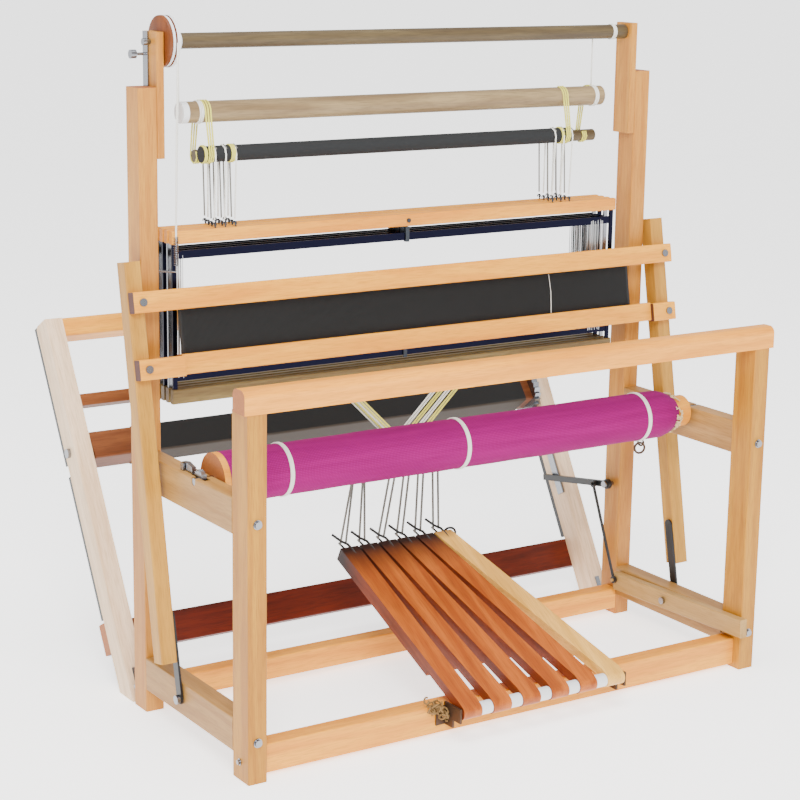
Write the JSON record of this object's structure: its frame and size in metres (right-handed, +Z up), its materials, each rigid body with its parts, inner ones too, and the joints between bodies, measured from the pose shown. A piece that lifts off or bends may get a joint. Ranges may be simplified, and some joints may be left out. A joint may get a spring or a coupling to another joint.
{
  "type": "floor loom",
  "caption": "Folding counterbalance floor loom with wooden frame, beater and reed, rollers and heddle shafts, treadles, cloth beam with woven cloth and leaning back frame with warp beam.",
  "frame": {"origin": "on the floor, under the middle of the loom's width and depth", "axes": "+Z up, +Y from the weaver's side at the front to the back, +X to the right across the weaving width"},
  "size_m": [1.172, 0.8851, 1.227],
  "materials": {
    "maple": "satin varnish",
    "pale_wood": "bare pale wood",
    "stained_wood": "reddish brown oiled",
    "red_wood": "dark red stain",
    "dowel": "satin grey brown",
    "steel": "bright plated",
    "black_steel": "satin black",
    "white_plastic": "matte",
    "cord": "waxed cord",
    "woven_cloth": "plain weave",
    "apron_cloth": "heavy cotton",
    "black_sleeve": "matte",
    "reed_steel": "dark blued wires"
  },
  "bodies": {
    "frame": {"front_post_left": "maple", "front_post_right": "maple", "breast_beam": "maple", "front_rail": "maple", "side_rails": "maple", "upper_rails": "maple", "castle_posts": "maple", "castle_extensions": "maple", "castle_rail": "maple", "castle_strap": "steel", "treadle_axle": "steel", "treadle_spacers": "white_plastic", "frame_bolts": "steel", "fold_hinges": "steel", "harness_cords": "cord", "regulator_spring": "steel"},
    "cloth_beam": {"cloth_beam": "maple", "cloth_roll": "woven_cloth", "cloth_ratchet": "steel"},
    "cloth_pawl": {"cloth_pawl": "steel"},
    "rear_frame": {"rear_leg_left": "pale_wood", "rear_leg_right": "pale_wood", "back_beam": "maple", "rear_rail": "red_wood", "rear_spreader": "red_wood", "leg_straps": "black_steel"},
    "warp_beam": {"warp_beam": "red_wood", "warp_apron": "apron_cloth", "warp_ratchet": "steel"},
    "brake_pedal": {"brake_pedal": "pale_wood"},
    "brake_rod": {"brake_rod": "black_steel"},
    "brake_lever": {"brake_lever": "black_steel"},
    "beater": {"sword_left": "maple", "sword_right": "maple", "handtree": "maple", "race_beam": "maple", "reed": "reed_steel", "sword_straps": "steel"},
    "top_shaft": {"top_shaft": "dowel", "shaft_disk": "red_wood"},
    "lift_loops": {"lift_cords": "cord"},
    "upper_roller": {"upper_roller": "dowel"},
    "front_loops": {"front_roller_cords": "cord"},
    "rear_loops": {"rear_roller_cords": "cord"},
    "front_roller": {"front_roller": "black_sleeve"},
    "rear_roller": {"rear_roller": "dowel"},
    "shaft_1_body": {"shaft_1": "maple", "heddles_1": "steel"},
    "shaft_2_body": {"shaft_2": "maple", "heddles_2": "steel"},
    "shaft_3_body": {"shaft_3": "maple", "heddles_3": "steel"},
    "shaft_4_body": {"shaft_4": "maple", "heddles_4": "steel"},
    "treadle_1_body": {"treadle_1": "stained_wood"},
    "treadle_2_body": {"treadle_2": "stained_wood"},
    "treadle_3_body": {"treadle_3": "stained_wood"},
    "treadle_4_body": {"treadle_4": "stained_wood"},
    "treadle_5_body": {"treadle_5": "stained_wood"},
    "treadle_6_body": {"treadle_6": "stained_wood"}
  },
  "joints": [
    {"name": "beater_swing", "type": "hinge", "parent": "frame", "child": "beater", "pos_m": [0, -0.169, 0.073], "axis": [1, 0, 0], "range_deg": [0, 22]},
    {"name": "cloth_beam_turn", "type": "hinge", "parent": "frame", "child": "cloth_beam", "pos_m": [0, -0.217, 0.472], "axis": [1, 0, 0], "continuous": true},
    {"name": "cloth_pawl_lift", "type": "hinge", "parent": "frame", "child": "cloth_pawl", "pos_m": [0, -0.164, 0.488], "axis": [1, 0, 0], "range_deg": [-30, 0]},
    {"name": "back_frame_fold", "type": "hinge", "parent": "frame", "child": "rear_frame", "pos_m": [0, 0.026, 0.03], "axis": [1, 0, 0], "range_deg": [0, 25]},
    {"name": "warp_beam_turn", "type": "hinge", "parent": "rear_frame", "child": "warp_beam", "pos_m": [0, 0.28759, 0.40709], "axis": [1, 0, 0], "continuous": true},
    {"name": "brake_pedal_press", "type": "hinge", "parent": "frame", "child": "brake_pedal", "pos_m": [0, -0.199, 0.082], "axis": [1, 0, 0], "range_deg": [0, 3]},
    {"name": "brake_rod_lift", "type": "slide", "parent": "frame", "child": "brake_rod", "axis": [0, 0, 1], "range_m": [0, 0.008]},
    {"name": "brake_lever_lift", "type": "hinge", "parent": "frame", "child": "brake_lever", "pos_m": [0, -0.005, 0.274], "axis": [1, 0, 0], "range_deg": [0, 14]},
    {"name": "top_shaft_turn", "type": "hinge", "parent": "frame", "child": "top_shaft", "pos_m": [0, -0.0035, 1.183], "axis": [1, 0, 0], "range_deg": [-30, 30]},
    {"name": "harness_lift", "type": "slide", "parent": "frame", "child": "lift_loops", "axis": [0, 0, 1], "range_m": [-0.0075, 0.0075]},
    {"name": "upper_roller_turn", "type": "hinge", "parent": "lift_loops", "child": "upper_roller", "pos_m": [0, -0.003, 1.062], "axis": [1, 0, 0], "range_deg": [-90, 90]},
    {"name": "front_loops_lift", "type": "slide", "parent": "lift_loops", "child": "front_loops", "axis": [0, 0, 1], "range_m": [-0.03, 0.03]},
    {"name": "rear_loops_lift", "type": "slide", "parent": "lift_loops", "child": "rear_loops", "axis": [0, 0, 1], "range_m": [-0.03, 0.03]},
    {"name": "front_roller_turn", "type": "hinge", "parent": "front_loops", "child": "front_roller", "pos_m": [0, -0.021, 0.991], "axis": [1, 0, 0], "range_deg": [-90, 90]},
    {"name": "rear_roller_turn", "type": "hinge", "parent": "rear_loops", "child": "rear_roller", "pos_m": [0, 0.017, 0.984], "axis": [1, 0, 0], "range_deg": [-90, 90]},
    {"name": "shaft_1_lift", "type": "slide", "parent": "front_loops", "child": "shaft_1_body", "axis": [0, 0, 1], "range_m": [-0.0225, 0.0225], "deforming": ["harness_cords"]},
    {"name": "shaft_2_lift", "type": "slide", "parent": "front_loops", "child": "shaft_2_body", "axis": [0, 0, 1], "range_m": [-0.0225, 0.0225]},
    {"name": "shaft_3_lift", "type": "slide", "parent": "rear_loops", "child": "shaft_3_body", "axis": [0, 0, 1], "range_m": [-0.0225, 0.0225]},
    {"name": "shaft_4_lift", "type": "slide", "parent": "rear_loops", "child": "shaft_4_body", "axis": [0, 0, 1], "range_m": [-0.0225, 0.0225]},
    {"name": "treadle_1_press", "type": "hinge", "parent": "frame", "child": "treadle_1_body", "pos_m": [0, -0.429, 0.054], "axis": [1, 0, 0], "range_deg": [-4.5, 4.5]},
    {"name": "treadle_2_press", "type": "hinge", "parent": "frame", "child": "treadle_2_body", "pos_m": [0, -0.429, 0.054], "axis": [1, 0, 0], "range_deg": [-4.5, 4.5]},
    {"name": "treadle_3_press", "type": "hinge", "parent": "frame", "child": "treadle_3_body", "pos_m": [0, -0.429, 0.054], "axis": [1, 0, 0], "range_deg": [-4.5, 4.5]},
    {"name": "treadle_4_press", "type": "hinge", "parent": "frame", "child": "treadle_4_body", "pos_m": [0, -0.429, 0.054], "axis": [1, 0, 0], "range_deg": [-4.5, 4.5]},
    {"name": "treadle_5_press", "type": "hinge", "parent": "frame", "child": "treadle_5_body", "pos_m": [0, -0.429, 0.054], "axis": [1, 0, 0], "range_deg": [-4.5, 4.5]},
    {"name": "treadle_6_press", "type": "hinge", "parent": "frame", "child": "treadle_6_body", "pos_m": [0, -0.429, 0.054], "axis": [1, 0, 0], "range_deg": [-4.5, 4.5]}
  ],
  "couplings": [
    {"joint": "brake_rod_lift", "follows": "brake_pedal_press", "m_per_rad": 0.149},
    {"joint": "brake_lever_lift", "follows": "brake_pedal_press", "ratio": 4.5152},
    {"joint": "harness_lift", "follows": "top_shaft_turn", "m_per_rad": -0.0135},
    {"joint": "front_loops_lift", "follows": "upper_roller_turn", "m_per_rad": -0.0185},
    {"joint": "rear_loops_lift", "follows": "upper_roller_turn", "m_per_rad": 0.0185},
    {"joint": "shaft_1_lift", "follows": "front_roller_turn", "m_per_rad": -0.014},
    {"joint": "shaft_2_lift", "follows": "front_roller_turn", "m_per_rad": 0.014},
    {"joint": "shaft_3_lift", "follows": "rear_roller_turn", "m_per_rad": -0.011},
    {"joint": "shaft_4_lift", "follows": "rear_roller_turn", "m_per_rad": 0.011},
    {"joint": "treadle_1_press", "follows": "upper_roller_turn", "ratio": -0.044578},
    {"joint": "treadle_2_press", "follows": "upper_roller_turn", "ratio": 0.044578},
    {"joint": "treadle_3_press", "follows": "front_roller_turn", "ratio": -0.033735},
    {"joint": "treadle_4_press", "follows": "front_roller_turn", "ratio": 0.033735},
    {"joint": "treadle_5_press", "follows": "rear_roller_turn", "ratio": -0.026506},
    {"joint": "treadle_6_press", "follows": "rear_roller_turn", "ratio": 0.026506}
  ]
}
